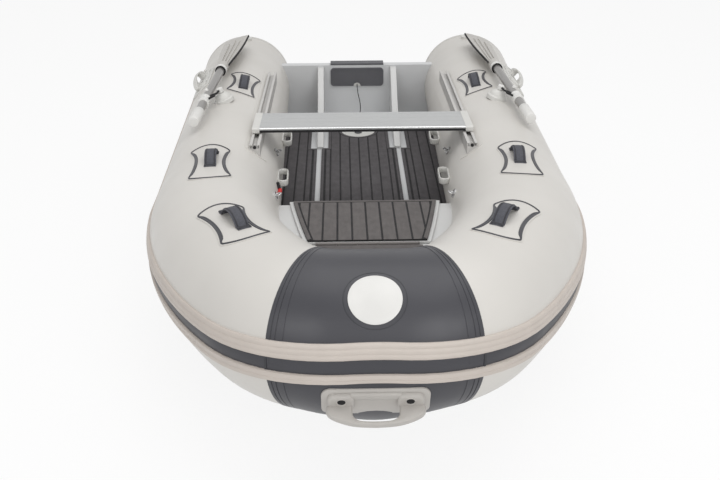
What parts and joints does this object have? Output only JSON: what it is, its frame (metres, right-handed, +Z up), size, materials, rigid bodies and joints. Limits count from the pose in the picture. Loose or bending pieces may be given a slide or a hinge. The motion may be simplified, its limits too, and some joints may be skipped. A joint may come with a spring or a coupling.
{
  "type": "inflatable rib boat",
  "caption": "Small open inflatable boat with a rigid V hull, round side tubes, a sliding bench, a bow locker with a hinged lid and stowed oars.",
  "frame": {"origin": "on the ground under the middle of the boat", "axes": "bow towards -Y, stern towards +Y, port +X, +Z up"},
  "size_m": [1.5448, 2.846, 0.6274],
  "materials": {
    "hull_white": "gloss",
    "guard": "matte",
    "deck_grey": "satin",
    "deck_white": "satin",
    "tube": "satin",
    "tube_dark": "satin",
    "strake": "satin",
    "pad": "matte",
    "deck_foam": "matte",
    "moulding": "satin",
    "cord": "matte",
    "steel": "brushed",
    "anodised": "satin",
    "webbing": "matte",
    "blade": "satin"
  },
  "bodies": {
    "boat": {"bow_disc": "tube", "bow_handle": "moulding", "bow_locker": "deck_white", "bow_step_mat": "deck_foam", "carry_handles": "webbing", "deck_plate": "deck_grey", "drain_lanyard": "cord", "drain_plug": "pad", "drain_tray": "moulding", "floor_mat_centre": "deck_foam", "floor_mats_side": "deck_foam", "hull": "hull_white", "keel_guard": "guard", "lanyard_eye": "moulding", "lid_hinge": "steel", "motor_pad_inner": "pad", "motor_pad_outer": "pad", "rowlock_bases": "moulding", "seat_rails": "anodised", "side_handles": "moulding", "strake_band": "tube_dark", "strake_lower": "strake", "strake_upper": "strake", "strap_loops": "moulding", "tail_cones": "tube", "tail_fittings": "moulding", "tie_rings": "steel", "transom": "deck_grey", "transom_knees": "deck_white", "tube_bow": "tube_dark", "tube_patches": "tube", "tube_port": "tube", "tube_starboard": "tube"},
    "lid": {"locker_lid": "deck_white", "lid_mat": "deck_foam"},
    "bench": {"bench": "anodised", "bench_brackets": "moulding"},
    "oar_port": {"oar_shaft_port": "anodised", "oar_grip_port": "moulding", "oar_collar_port": "moulding", "oar_blade_port": "blade"},
    "oar_starboard": {"oar_shaft_starboard": "anodised", "oar_grip_starboard": "moulding", "oar_collar_starboard": "moulding", "oar_blade_starboard": "blade"}
  },
  "joints": [
    {"name": "lid_hinge_joint", "type": "hinge", "parent": "boat", "child": "lid", "pos_m": [0, -0.67697, 0.39132], "axis": [1, 0, 0], "range_deg": [0, 100]},
    {"name": "bench_slide", "type": "slide", "parent": "boat", "child": "bench", "axis": [0, 0.9989, -0.046], "range_m": [-0.12, 0.64]},
    {"name": "oar_port_swing", "type": "hinge", "parent": "boat", "child": "oar_port", "pos_m": [0.54669, 0.29318, 0.56626], "axis": [-0.3159, -0.0158, -0.9487], "range_deg": [0, 110]},
    {"name": "oar_starboard_swing", "type": "hinge", "parent": "boat", "child": "oar_starboard", "pos_m": [-0.54669, 0.29318, 0.56626], "axis": [-0.3159, 0.0158, 0.9487], "range_deg": [0, 110]}
  ]
}
